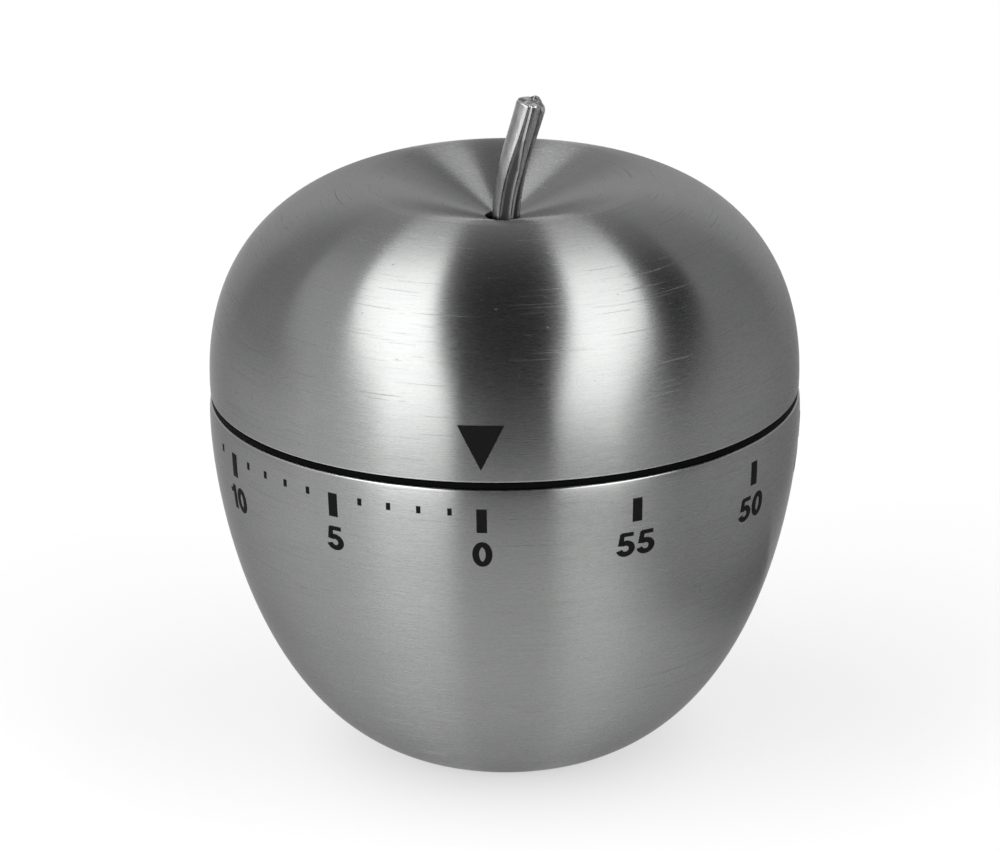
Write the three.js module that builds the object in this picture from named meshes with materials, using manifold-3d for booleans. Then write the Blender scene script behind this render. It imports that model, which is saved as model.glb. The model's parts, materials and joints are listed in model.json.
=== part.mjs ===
// Apple-shaped kitchen timer with a wind-up movement, in millimetres, +Z up.
// The origin is the centre of the flat base. The dial's zero faces -Y and the stem bends towards +X.
// The cap turns clockwise, seen from above, to set the time, and carries the arbor of the movement.

import * as THREE from 'three';
import { mergeVertices } from 'three/addons/utils/BufferGeometryUtils.js';
import Module from 'manifold-3d';

const wasm = await Module();
wasm.setup();

// ---------- Driving dimensions ----------

// Apple form
const seamRadius = 30;
const seamHeight = 37.95;     // middle of the gap between cap and body
const seamGap = 0.8;
const crestRadius = 14.5;     // ring where the cap is highest
const crestRise = 21.87;      // crest above the seam's middle
const dimpleDepth = 3.6;      // hole edge below the crest
const stemHoleRadius = 1.8;
const baseRadius = 12;        // edge of the opening under the body
const baseLift = 0.3;         // body edge above the table
const shellWall = 0.6;

// Lengths of the curve handles that shape the apple
const shoulderLean = 1.02;
const shoulderReach = 19.2;
const crestReach = 0.5;
const dimpleRoundness = 1.8;
const dimpleThroat = 6.5;
const dimpleSlope = 0.3;
const cheekLean = 0.68;
const cheekReach = 2.65;
const heelReach = 16.8;
const heelRise = 6.55;

// Stem
const stemRadius = 1.35;
const stemRidge = 0.16;       // height of the lengthwise ridges
const stemRidges = 5;
const stemRise = 12.2;        // top of the stem above the hole's edge
const stemLean = 2.7;         // how far the top stands to the side
const stemStraight = 6;       // length over which it rises before it bends
const stemTopRun = 4.4;       // straight run below its top
const stemTopTilt = 15;       // degrees that its top leans over
const stemShift = 0.25;       // it stands a little to one side of its hole
const stemShankRadius = 0.95;
const stemShankLength = 5;
const sidesPerRidge = 4;
const stemSteps = 8;

// Clearances
const fit = 0.05;             // pressed or screwed together
const running = 0.1;          // radial play of a turning shaft
const seat = 0.1;             // between flat faces that rest on each other
const slack = 0.25;           // between the shells and the plastic inside them
const turningGap = 0.3;       // above the rim on which the cap turns

// Plastic inside
const linerWall = 1.2;
const hubRadius = 4.5;
const hubDrop = 15.5;         // length of the hub under the dimple
const cupWall = 1.2;
const cupFloor = 1.2;
const cupOpeningRadius = 5.6;
const cupBossRadius = 1.7;
const cupBossHeight = 3.6;
const ledgeHeight = 17.6;     // underside of the ledge that holds the movement
const ledgeThickness = 1.2;
const ledgeWidth = 2.2;       // part of the lower plate that rests on the ledge
const lidThickness = 1.2;
const rimWidth = 1.6;         // rim inside the shells
const seamCollarInset = 0.08; // of the collar that fills the seam as a black line
const lidHoleRadius = 2.2;

// Base
const basePlateGap = 1;       // between the base plate's edge and the body's opening
const basePlateHeight = 2.6;
const flangeThickness = 0.7;  // flange inside the body's opening
const footWidth = 1.2;
const footHeight = 0.5;
const pocketDepth = 1.1;      // pocket of a base screw's head
const slotCount = 6;
const slotWidth = 1.1;
const slotInner = 1.6;
const slotOuter = 5;

// Movement plates
const plateGap = 7;           // between the plates' edge and the widest ring of the timer
const plateThickness = 1;
const pillarRadius = 1.5;
const pillarAngles = [100, 235, 350];
const pillarInset = 2.7;      // from a plate's edge to a pillar's axis

// Screws
const screwRadius = 0.6;
const screwHeadRadius = 1.3;
const screwHeadHeight = 0.9;
const screwSlotWidth = 0.4;
const screwSlotDepth = 0.4;
const screwLength = 2.2;
const screwHoleSpare = 0.4;   // depth of a hole past its screw's end
const baseScrewLength = 4;
const mountingAngles = [40, 180, 290];
const mountingInset = 1.2;    // from a plate's edge to a mounting screw's axis
const baseScrewAngles = [90, 210, 330];
const baseScrewPlace = 7.6;

// Winding arbor and what sits on it
const arborRadius = 1.5;
const arborPivotRadius = 1;
const arborCollarRadius = 2.4;
const arborCollarHeight = 0.6;
const squareLength = 5;
const washerRadius = 4.2;
const washerThickness = 0.2;
const washerDish = 0.35;
const camRadius = 5.5;
const camThickness = 0.7;
const camNotchDepth = 1.5;
const camNotchAngle = 30;
const stopInset = 6;          // from a plate's edge to the stop pin's axis
const stopAngle = 0;          // place of the stop pin round the middle
const stopPinRadius = 0.4;
const stopLugDepth = 0.7;     // radial size of the lug
const stopLugDrop = 3;
const stopDiscThickness = 0.7;
const stopPinLength = 3;
const stopOffset = 3;         // degrees between pin and lug when they meet
const stopGap = 0.1;          // left between them at rest

// Mainspring
const springTurns = 4;
const springInner = 2.4;
const springOuter = 10.6;
const springThickness = 0.25;
const springWidth = 3;
const springPostRadius = 0.8;
const springPostAngle = 20;

// Wheels: number of teeth and module
const greatTeeth = 60;
const greatModule = 0.3;
const secondLeaves = 10;
const secondTeeth = 48;
const secondModule = 0.3;
const thirdLeaves = 8;
const thirdTeeth = 48;
const thirdModule = 0.3;
const escapeLeaves = 8;
const escapeTeeth = 15;
const escapeRadius = 4.5;
const escapeToothDepth = 1.2;
const strikeTeeth = 10;
const strikeRadius = 3.3;
const strikeToothDepth = 1;
const wheelThickness = 0.7;
const pinionOverlap = 0.4;    // how far a pinion stands past the wheel that it meets
const trainArborRadius = 0.5;
const levelGap = 0.45;        // free height between one moving piece and the next
const secondAngle = 150;      // place of the second arbor round the middle

// Teeth: depths and heights in modules, half widths as shares of the pitch
const wheelRootDepth = 1.25;
const wheelTipHeight = 0.8;
const wheelRootShare = 0.3;
const wheelTipShare = 0.11;
const leafRootDepth = 1.3;
const leafTipHeight = 0.6;
const leafRootShare = 0.15;
const leafPitchShare = 0.17;
const leafTipShare = 0.08;
const escapeRootShare = 0.16;
const escapeTipShare = 0.05;
const strikeRootShare = 0.2;
const strikeTipShare = 0.06;

// Balance
const palletSpan = 2.5;       // escape teeth between the two pallet pins
const palletPinRadius = 0.2;
const palletClearance = 0.12;
const balanceRadius = 4.7;
const balanceThickness = 1;
const balanceRimWidth = 1.1;
const balanceWebInset = 0.3;  // web below the rim's two faces
const balanceStaffRadius = 0.4;

// Bell and hammer
const bellRadius = 15;
const bellHeight = 8;
const bellWall = 0.9;
const bellRimHeight = 7.6;    // bell's rim above the table
const bellPostRadius = 2.2;
const bellStudRadius = 1.1;
const bellNutRadius = 2.1;
const bellNutHeight = 1.6;
const bellNutFlats = 6;
const bellNutGap = 0.2;       // under the crown, whose inside is curved
const bellStudEnd = 0.6;      // stud below its nut
const hammerSetBack = 0.9;    // how much further out the hammer's spindle stands than its head
const hammerAngle = 215;
const hammerSpindleRadius = 0.6;
const hammerGap = 0.6;        // between the waiting hammer head and the bell
const hammerHeadRadius = 1.5;
const hammerHeadHeight = 3.4;
const hammerLevel = 9.4;
const leverWidth = 0.8;
const leverThickness = 0.7;
const leverBossRadius = 1.5;
const leverNoseGap = 0.2;     // between a waiting finger and its wheel
const fingerLength = 1.2;
const fingerWidth = 0.6;
const coilTurns = 2.5;
const coilWire = 0.2;
const coilRise = 0.45;        // height of one turn of the hammer's spring

// Fineness of round shapes
const capSteps = 8;
const dimpleSteps = 4;
const bodySteps = 8;
const shellSides = 40;
const roundSides = 24;
const smallSides = 10;
const coilSides = 5;
const springSteps = 16;       // per turn of the mainspring
const bellSteps = 7;
const weld = 1e-4;            // corners closer than this are one corner

// ---------- Radii worked out from the driving dimensions ----------

const basePlateRadius = baseRadius - basePlateGap;
const plateRadius = seamRadius - plateGap;
const seamCollarRadius = seamRadius - seamCollarInset;
const ledgeRadius = plateRadius - ledgeWidth;
const pillarPlace = plateRadius - pillarInset;
const mountingPlace = plateRadius - mountingInset;
const stopPlace = plateRadius - stopInset;
const stopLugWidth = 2 * (stopPlace * Math.sin(degrees(stopOffset)) - stopPinRadius - stopGap);
const hammerReach = bellRadius + hammerHeadRadius + hammerGap;
const hammerPlace = hammerReach + hammerSetBack;

// ---------- Heights worked out from the driving dimensions ----------

const bodyTop = seamHeight - seamGap / 2;
const capBottom = seamHeight + seamGap / 2;
const crestHeight = seamHeight + crestRise;
const holeEdge = crestHeight - dimpleDepth;
const seamCollarBottom = bodyTop + seat;
const seamCollarTop = capBottom - seat;
const rimTop = capBottom - fit;
const linerBottom = rimTop + turningGap;
const pocketTop = footHeight + pocketDepth;
const flangeBottom = basePlateHeight - flangeThickness;
const cupBottom = basePlateHeight + seat;
const cupFloorTop = cupBottom + cupFloor;
const ledgeTop = ledgeHeight + ledgeThickness;
const lowerPlateBottom = ledgeTop + seat;
const lowerPlateTop = lowerPlateBottom + plateThickness;

// Levels between the plates, from the balance up to the great wheel
const balanceLevel = lowerPlateTop + levelGap;
const balanceTop = balanceLevel + balanceThickness;
const escapeLevel = balanceTop + levelGap;
const escapePinionBottom = escapeLevel + wheelThickness + fit;
const thirdLevel = escapePinionBottom + pinionOverlap;
const escapePinionTop = thirdLevel + wheelThickness + pinionOverlap;
const thirdPinionBottom = thirdLevel + wheelThickness + fit;
const camLevel = escapePinionTop + levelGap;
const secondLevel = camLevel + camThickness + levelGap;
const thirdPinionTop = secondLevel + wheelThickness + pinionOverlap;
const secondPinionBottom = secondLevel + wheelThickness + fit;
const greatLevel = secondPinionBottom + pinionOverlap;
const secondPinionTop = greatLevel + wheelThickness + pinionOverlap;
const upperPlateBottom = secondPinionTop + levelGap;
const upperPlateTop = upperPlateBottom + plateThickness;

// Levels above the plates
const springBottom = upperPlateTop + levelGap;
const stopDiscBottom = springBottom + springWidth + levelGap;
const stopDiscTop = stopDiscBottom + stopDiscThickness;
const lidBottom = stopDiscTop + levelGap;
const lidTop = lidBottom + lidThickness;
const cupTop = lidBottom - seat;

// Levels of the bell
const bellTop = bellRimHeight + bellHeight;
const bellCrownBottom = bellTop - bellWall;
const bellNutTop = bellCrownBottom - bellNutGap;
const hammerArmLevel = hammerLevel + hammerHeadHeight + fit;

// ---------- Shapes ----------

function degrees(angle) {
  return THREE.MathUtils.degToRad(angle);
}

function polar(distance, angle) {
  return new THREE.Vector2(distance * Math.cos(degrees(angle)), distance * Math.sin(degrees(angle)));
}

// A profile of [radius, height] points, counter-clockwise, turned round Z.
function turned(profile, sides = roundSides) {
  const points = profile.map(([radius, height]) => new THREE.Vector2(radius, height));
  const geometry = new THREE.LatheGeometry(points, sides);
  geometry.rotateX(Math.PI / 2);
  return geometry;
}

function rod(radius, bottom, top, sides = smallSides) {
  return turned([[0, bottom], [radius, bottom], [radius, top], [0, top]], sides);
}

function ring(inner, outer, bottom, top, sides = roundSides) {
  return turned([[inner, bottom], [outer, bottom], [outer, top], [inner, top], [inner, bottom]], sides);
}

// A flat outline raised from one height to another.
function raised(shape, bottom, top, curveSegments = smallSides) {
  const settings = { depth: top - bottom, bevelEnabled: false, curveSegments };
  const geometry = new THREE.ExtrudeGeometry(shape, settings);
  geometry.translate(0, 0, bottom);
  return geometry;
}

function circle(radius, sides = smallSides, x = 0, y = 0) {
  const points = [];
  for (let side = 0; side < sides; side += 1) {
    const point = polar(radius, (360 * side) / sides);
    points.push(new THREE.Vector2(point.x + x, point.y + y));
  }
  return points;
}

function box(width, depth, bottom, top, x = 0) {
  const geometry = new THREE.BoxGeometry(width, depth, top - bottom);
  geometry.translate(x, 0, (bottom + top) / 2);
  return geometry;
}

function toSolid(geometry) {
  const bare = geometry.clone();
  bare.deleteAttribute('normal');
  bare.deleteAttribute('uv');
  const merged = mergeVertices(bare, weld);
  const vertProperties = new Float32Array(merged.attributes.position.array);
  const triVerts = new Uint32Array(merged.index.array);
  return new wasm.Manifold(new wasm.Mesh({ numProp: 3, vertProperties, triVerts }));
}

function toGeometry(solid) {
  const mesh = solid.getMesh();
  const geometry = new THREE.BufferGeometry();
  geometry.setAttribute('position', new THREE.BufferAttribute(new Float32Array(mesh.vertProperties), 3));
  geometry.setIndex(new THREE.BufferAttribute(new Uint32Array(mesh.triVerts), 1));
  geometry.computeVertexNormals();
  return geometry;
}

function joined(...geometries) {
  return toGeometry(geometries.map(toSolid).reduce((whole, solid) => whole.add(solid)));
}

function cut(body, ...tools) {
  return toGeometry(tools.map(toSolid).reduce((whole, solid) => whole.subtract(solid), toSolid(body)));
}

// A curve's points moved sideways by a distance, to its left.
function offsetCurve(points, distance) {
  return points.map((point, index) => {
    const before = points[Math.max(index - 1, 0)];
    const after = points[Math.min(index + 1, points.length - 1)];
    const along = after.clone().sub(before).normalize();
    return new THREE.Vector2(point.x - along.y * distance, point.y + along.x * distance);
  });
}

function pairs(points) {
  return points.map((point) => [point.x, point.y]);
}

// ---------- Apple curves, from the seam upwards and from the seam downwards ----------

const capCurve = new THREE.CubicBezierCurve(
  new THREE.Vector2(seamRadius, capBottom),
  new THREE.Vector2(seamRadius + shoulderLean, capBottom + shoulderReach),
  new THREE.Vector2(crestRadius + crestReach, crestHeight),
  new THREE.Vector2(crestRadius, crestHeight),
);
const dimpleCurve = new THREE.CubicBezierCurve(
  new THREE.Vector2(crestRadius, crestHeight),
  new THREE.Vector2(crestRadius - dimpleRoundness, crestHeight),
  new THREE.Vector2(stemHoleRadius + dimpleThroat, holeEdge + dimpleThroat * dimpleSlope),
  new THREE.Vector2(stemHoleRadius, holeEdge),
);
const bodyCurve = new THREE.CubicBezierCurve(
  new THREE.Vector2(baseRadius, baseLift),
  new THREE.Vector2(baseRadius + heelReach, baseLift + heelRise),
  new THREE.Vector2(seamRadius + cheekLean, bodyTop - cheekReach),
  new THREE.Vector2(seamRadius, bodyTop),
);

// Keeps the part of a curve between two heights, with both ends cut level.
function between(points, low, high) {
  const kept = [];
  points.forEach((point, index) => {
    const last = points[index - 1];
    for (const level of [low, high]) {
      if (last && (last.y - level) * (point.y - level) < 0) {
        kept.push(last.clone().lerp(point, (level - last.y) / (point.y - last.y)));
      }
    }
    if (point.y >= low && point.y <= high) {
      kept.push(point);
    }
  });
  return kept;
}

function radiusAt(points, height) {
  return between(points, height, Infinity)[0].x;
}

// ---------- Materials ----------

function material(color, roughness, metalness) {
  return new THREE.MeshStandardMaterial({ color, roughness, metalness });
}

const brushedSteel = material(0x9a9c9b, 0.35, 1);
const stemSteel = material(0x8b8d8b, 0.3, 1);
const blackPlastic = material(0x101010, 0.5, 0);
const plateSteel = material(0xa8a9a6, 0.4, 1);
const brass = material(0xb5903f, 0.35, 1);
const springSteel = material(0x5f6670, 0.3, 1);
const screwSteel = material(0x86888a, 0.35, 1);
const bellSteel = material(0xc3c4c2, 0.2, 1);

function piece(name, geometry, finish) {
  const mesh = new THREE.Mesh(geometry, finish.clone());
  mesh.name = name;
  return mesh;
}

const middle = new THREE.Vector2(0, 0);

function group(place, ...members) {
  const holder = new THREE.Group();
  holder.position.set(place.x, place.y, 0);
  holder.add(...members);
  return holder;
}

// ---------- Steel shells ----------

function shell(outline) {
  const inside = offsetCurve(outline, shellWall).reverse();
  return turned([...pairs(outline), ...pairs(inside), ...pairs([outline[0]])], shellSides);
}

const capPoints = [...capCurve.getPoints(capSteps), ...dimpleCurve.getPoints(dimpleSteps).slice(1)];
const bodyPoints = bodyCurve.getPoints(bodySteps);
const capShell = piece('cap_shell', shell(capPoints), brushedSteel);
const bodyShell = piece('body_shell', shell(bodyPoints), brushedSteel);

// ---------- Cap liner with the hub for the arbor's square ----------

const linerOuter = between(offsetCurve(capPoints, shellWall + slack), linerBottom, Infinity);
const linerInner = between(offsetCurve(capPoints, shellWall + slack + linerWall), linerBottom, Infinity);
const hubTop = linerOuter[linerOuter.length - 1].y;
const hubBottom = hubTop - hubDrop;
const squareSide = arborRadius * Math.SQRT2 - fit;
const stemFoot = hubTop + seat;

function capLinerGeometry() {
  const underside = linerInner.filter((point) => point.x > hubRadius).reverse();
  const profile = [
    [0, hubBottom],
    [hubRadius, hubBottom],
    [hubRadius, underside[0].y],
    ...pairs(underside),
    ...pairs(linerOuter),
    [0, hubTop],
  ];
  const socketSide = squareSide + 2 * fit;
  const socket = box(socketSide, socketSide, hubBottom - seat, hubBottom + squareLength + seat);
  const shankHole = rod(stemShankRadius + fit, stemFoot - stemShankLength - seat, stemFoot + seat);
  shankHole.translate(stemShift, 0, 0);
  return cut(turned(profile), socket, shankHole);
}

const capLiner = piece('cap_liner', capLinerGeometry(), blackPlastic);

// ---------- Stem: a ridged rod that bends to one side, on a plain shank ----------

function stemGeometry() {
  const top = holeEdge + stemRise;
  const path = new THREE.CubicBezierCurve3(
    new THREE.Vector3(0, 0, stemFoot),
    new THREE.Vector3(0, 0, stemFoot + stemStraight),
    new THREE.Vector3(stemLean - stemTopRun * Math.tan(degrees(stemTopTilt)), 0, top - stemTopRun),
    new THREE.Vector3(stemLean, 0, top),
  );
  const outline = circle(1, stemRidges * sidesPerRidge);
  outline.forEach((point, index) => {
    const wave = Math.cos((2 * Math.PI * index) / sidesPerRidge);
    point.multiplyScalar(stemRadius + stemRidge * wave);
  });
  const body = new THREE.ExtrudeGeometry(new THREE.Shape(outline), { steps: stemSteps, extrudePath: path });
  return joined(body, rod(stemShankRadius, stemFoot - stemShankLength, stemFoot + stemRadius));
}

const stem = piece('stem', stemGeometry(), stemSteel);
stem.position.x = stemShift;

// ---------- Movement cup, its lid and the base plate ----------

const cupOuter = offsetCurve(bodyPoints, shellWall + slack);
const cupInner = offsetCurve(bodyPoints, shellWall + slack + cupWall);

function cupGeometry() {
  const profile = [
    [cupOpeningRadius, cupBottom],
    ...pairs(between(cupOuter, cupBottom, cupTop)),
    ...pairs(between(cupInner, ledgeTop, cupTop).reverse()),
    [ledgeRadius, ledgeTop],
    [ledgeRadius, ledgeHeight],
    ...pairs(between(cupInner, cupFloorTop, ledgeHeight).reverse()),
    [cupOpeningRadius, cupFloorTop],
    [cupOpeningRadius, cupBottom],
  ];
  const bossTop = cupBottom + cupBossHeight;
  const bosses = [];
  const holes = [];
  for (const angle of baseScrewAngles) {
    const place = polar(baseScrewPlace, angle);
    bosses.push(rod(cupBossRadius, cupBottom, bossTop).translate(place.x, place.y, 0));
    holes.push(rod(screwRadius + fit, cupBottom - seat, bossTop + seat).translate(place.x, place.y, 0));
  }
  for (const angle of mountingAngles) {
    const place = polar(mountingPlace, angle);
    holes.push(rod(screwRadius + fit, cupBottom, cupTop).translate(place.x, place.y, 0));
  }
  return cut(joined(turned(profile), ...bosses), ...holes);
}

const rimRadius = seamRadius - shellWall - slack;

function lidGeometry() {
  return turned([
    [lidHoleRadius, lidBottom],
    [rimRadius, lidBottom],
    [rimRadius, seamCollarBottom],
    [seamCollarRadius, seamCollarBottom],
    [seamCollarRadius, seamCollarTop],
    [rimRadius, seamCollarTop],
    [rimRadius, rimTop],
    [rimRadius - rimWidth, rimTop],
    [rimRadius - rimWidth, lidTop],
    [lidHoleRadius, lidTop],
    [lidHoleRadius, lidBottom],
  ], shellSides);
}

function basePlateGeometry() {
  const shellInside = offsetCurve(bodyPoints, shellWall + slack);
  const flangeRadius = radiusAt(shellInside, flangeBottom);
  const plug = turned([
    [0, footHeight],
    [basePlateRadius - footWidth, footHeight],
    [basePlateRadius - footWidth, 0],
    [basePlateRadius, 0],
    [basePlateRadius, flangeBottom],
    [flangeRadius, flangeBottom],
    [flangeRadius, basePlateHeight],
    [0, basePlateHeight],
  ], shellSides);
  const openings = [];
  for (let slot = 0; slot < slotCount; slot += 1) {
    const length = slotOuter - slotInner;
    const opening = box(length, slotWidth, -seat, basePlateHeight + seat, slotInner + length / 2);
    openings.push(opening.rotateZ(degrees((360 * (slot + 0.5)) / slotCount)));
  }
  for (const angle of baseScrewAngles) {
    const place = polar(baseScrewPlace, angle);
    const hole = rod(screwRadius + fit, -seat, basePlateHeight + seat);
    const pocket = rod(screwHeadRadius + fit, -seat, pocketTop);
    openings.push(hole.translate(place.x, place.y, 0), pocket.translate(place.x, place.y, 0));
  }
  return cut(plug, ...openings);
}

const movementCup = piece('movement_cup', cupGeometry(), blackPlastic);
const cupLid = piece('cup_lid', lidGeometry(), blackPlastic);
const basePlate = piece('base_plate', basePlateGeometry(), blackPlastic);

// ---------- Screws: the origin is under the head, the shank points down ----------

function screwGeometry(length) {
  const body = turned([
    [0, -length],
    [screwRadius, -length],
    [screwRadius, 0],
    [screwHeadRadius, 0],
    [screwHeadRadius, screwHeadHeight],
    [0, screwHeadHeight],
  ], smallSides);
  const slotLength = 2 * (screwHeadRadius + seat);
  const top = screwHeadHeight + seat;
  return cut(body, box(slotLength, screwSlotWidth, screwHeadHeight - screwSlotDepth, top));
}

function screws(name, angles, distance, height, length, upsideDown = false) {
  return angles.map((angle, index) => {
    const place = polar(distance, angle);
    const screw = piece(`${name}_${index + 1}`, screwGeometry(length), screwSteel);
    screw.position.set(place.x, place.y, height);
    screw.rotation.x = upsideDown ? Math.PI : 0;
    return screw;
  });
}

const baseHeadLevel = pocketTop - seat;
const lowerHeadLevel = lowerPlateTop + seat;
const upperHeadLevel = upperPlateTop + seat;
const baseScrews = screws(
  'base_screw',
  baseScrewAngles,
  baseScrewPlace,
  baseHeadLevel,
  baseScrewLength,
  true,
);
const mountingScrews = screws('mounting_screw', mountingAngles, mountingPlace, lowerHeadLevel, screwLength);
const plateScrews = screws('plate_screw', pillarAngles, pillarPlace, upperHeadLevel, screwLength);

// ---------- Places of the arbors, all on one circle round the winding arbor ----------

function pitchRadius(teeth, module) {
  return (teeth * module) / 2;
}

const arborCircle = pitchRadius(greatTeeth + secondLeaves, greatModule);
const secondToThird = pitchRadius(secondTeeth + thirdLeaves, secondModule);
const thirdToEscape = pitchRadius(thirdTeeth + escapeLeaves, thirdModule);
const palletReach = escapeRadius + palletClearance + palletPinRadius;
const palletHalfAngle = (palletSpan * 180) / escapeTeeth;
const escapeToBalance = palletReach / Math.cos(degrees(palletHalfAngle));

// Angle round the middle between two arbors of the circle that stand a distance apart.
function chordAngle(distance) {
  return THREE.MathUtils.radToDeg(2 * Math.asin(distance / (2 * arborCircle)));
}

const thirdAngle = secondAngle + chordAngle(secondToThird);
const escapeAngle = thirdAngle + chordAngle(thirdToEscape);
const balanceAngle = escapeAngle + chordAngle(escapeToBalance);
const secondPlace = polar(arborCircle, secondAngle);
const thirdPlace = polar(arborCircle, thirdAngle);
const escapePlace = polar(arborCircle, escapeAngle);
const balancePlace = polar(arborCircle, balanceAngle);
const hammerCentre = polar(hammerPlace, hammerAngle);

function heading(from, to) {
  return THREE.MathUtils.radToDeg(Math.atan2(to.y - from.y, to.x - from.x));
}

// ---------- Plates, pillars and posts of the movement ----------

function hole(radius, place) {
  const sides = radius > 1 ? roundSides : smallSides;
  return new THREE.Path(circle(radius, sides, place.x, place.y));
}

function plateGeometry(bottom, top, middleRadius, screwAngles, screwPlace) {
  const outline = new THREE.Shape(circle(plateRadius, roundSides));
  outline.holes.push(hole(middleRadius, middle));
  for (const place of [secondPlace, thirdPlace, escapePlace]) {
    outline.holes.push(hole(trainArborRadius + running, place));
  }
  outline.holes.push(hole(balanceStaffRadius + running, balancePlace));
  outline.holes.push(hole(hammerSpindleRadius + running, hammerCentre));
  for (const angle of screwAngles) {
    outline.holes.push(hole(screwRadius + fit, polar(screwPlace, angle)));
  }
  return raised(outline, bottom, top);
}

const lowerPlate = piece(
  'lower_plate',
  plateGeometry(lowerPlateBottom, lowerPlateTop, arborPivotRadius + running, mountingAngles, mountingPlace),
  plateSteel,
);
const upperPlate = piece(
  'upper_plate',
  plateGeometry(upperPlateBottom, upperPlateTop, arborRadius + running, pillarAngles, pillarPlace),
  plateSteel,
);

const pillars = pillarAngles.map((angle, index) => {
  const bore = screwRadius + fit;
  const top = upperPlateBottom - seat;
  const boreBottom = upperPlateTop - screwLength - screwHoleSpare;
  const geometry = turned([
    [0, lowerPlateTop + seat],
    [pillarRadius, lowerPlateTop + seat],
    [pillarRadius, top],
    [bore, top],
    [bore, boreBottom],
    [0, boreBottom],
  ], smallSides);
  const pillar = piece(`pillar_${index + 1}`, geometry, plateSteel);
  const place = polar(pillarPlace, angle);
  pillar.position.set(place.x, place.y, 0);
  return pillar;
});

function post(name, radius, bottom, length, place) {
  const mesh = piece(name, rod(radius, bottom, bottom + length), plateSteel);
  mesh.position.set(place.x, place.y, 0);
  return mesh;
}

const springPostPlace = springOuter + springThickness / 2 + fit + springPostRadius;
const springPost = post(
  'spring_post',
  springPostRadius,
  upperPlateTop + seat,
  springWidth + levelGap,
  polar(springPostPlace, springPostAngle),
);
const stopPin = post(
  'stop_pin',
  stopPinRadius,
  upperPlateTop + seat,
  stopPinLength,
  polar(stopPlace, stopAngle),
);

// ---------- Mainspring: a flat strip wound in a spiral ----------

function mainspringGeometry() {
  const steps = springTurns * springSteps;
  const outside = [];
  const inside = [];
  for (let step = 0; step <= steps; step += 1) {
    const radius = springInner + ((springOuter - springInner) * step) / steps;
    const angle = springPostAngle + (360 * (step - steps)) / springSteps;
    outside.push(polar(radius + springThickness / 2, angle));
    inside.push(polar(radius - springThickness / 2, angle));
  }
  return raised(new THREE.Shape([...outside, ...inside.reverse()]), springBottom, springBottom + springWidth);
}

const mainspring = piece('mainspring', mainspringGeometry(), springSteel);

// ---------- Winding arbor, stop disc, release cam and friction washer ----------

const washerBottom = greatLevel - fit - washerDish - washerThickness;
const collarTop = washerBottom - fit;
const squareBottom = hubBottom - seat;
const squareTop = hubBottom + squareLength;

function windingArborGeometry() {
  const collarBottom = collarTop - arborCollarHeight;
  const shaft = turned([
    [0, lowerPlateBottom + seat],
    [arborPivotRadius, lowerPlateBottom + seat],
    [arborPivotRadius, lowerPlateTop + seat],
    [arborRadius, lowerPlateTop + seat],
    [arborRadius, collarBottom],
    [arborCollarRadius, collarBottom],
    [arborCollarRadius, collarTop],
    [arborRadius, collarTop],
    [arborRadius, squareBottom],
    [0, squareBottom],
  ], roundSides);
  return joined(shaft, box(squareSide, squareSide, squareBottom - squareLength, squareTop));
}

function washerGeometry() {
  const inner = arborRadius + fit;
  return turned([
    [inner, washerBottom],
    [washerRadius, washerBottom + washerDish],
    [washerRadius, washerBottom + washerDish + washerThickness],
    [inner, washerBottom + washerThickness],
    [inner, washerBottom],
  ], roundSides);
}

// The disc's lug hangs beside the stop pin, on its clockwise side at rest.
function stopDiscGeometry() {
  const disc = ring(arborRadius + fit, stopPlace + stopLugDepth / 2, stopDiscBottom, stopDiscTop);
  const lug = box(stopLugDepth, stopLugWidth, stopDiscBottom - stopLugDrop, stopDiscTop, stopPlace - seat);
  return joined(disc, lug.rotateZ(degrees(stopAngle - stopOffset)));
}

const windingArbor = piece('winding_arbor', windingArborGeometry(), plateSteel);
const clutchWasher = piece('clutch_washer', washerGeometry(), springSteel);
const stopDisc = piece('stop_disc', stopDiscGeometry(), plateSteel);

// ---------- Levers on the hammer's spindle ----------

// The end of a lever that stands at a given distance beside a centre. The arm is square to the line
// from that centre to its end, so that the end moves along the line.
function noseOf(centre, distance) {
  const apart = centre.distanceTo(hammerCentre);
  const angle = heading(centre, hammerCentre) + THREE.MathUtils.radToDeg(Math.acos(distance / apart));
  const place = polar(distance, angle).add(centre);
  return { angle, length: place.distanceTo(hammerCentre), heading: heading(hammerCentre, place) };
}

const armDistance = leverNoseGap + fingerLength;
const releaseNose = noseOf(middle, camRadius + armDistance);
const strikeNose = noseOf(thirdPlace, strikeRadius + armDistance);
const headNose = noseOf(middle, hammerReach);

// A straight arm on a round boss, with a finger at its end that points towards the centre.
function leverGeometry(nose, bottom, finger) {
  const halfArm = leverWidth / 2;
  const halfFinger = fingerWidth / 2;
  const root = Math.asin(halfArm / leverBossRadius);
  const outline = new THREE.Shape();
  outline.absarc(0, 0, leverBossRadius, root, 2 * Math.PI - root);
  outline.lineTo(nose.length + halfFinger, -halfArm);
  if (finger > 0) {
    outline.lineTo(nose.length + halfFinger, finger);
    outline.lineTo(nose.length - halfFinger, finger);
    outline.lineTo(nose.length - halfFinger, halfArm);
  } else {
    outline.lineTo(nose.length + halfFinger, halfArm);
  }
  outline.holes.push(hole(hammerSpindleRadius + fit, middle));
  return raised(outline, bottom, bottom + leverThickness).rotateZ(degrees(nose.heading));
}

const releaseLever = piece('release_lever', leverGeometry(releaseNose, camLevel, fingerLength), plateSteel);
const strikeLever = piece('strike_lever', leverGeometry(strikeNose, balanceLevel, fingerLength), plateSteel);
const hammerArm = piece('hammer_arm', leverGeometry(headNose, hammerArmLevel, 0), plateSteel);

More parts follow.
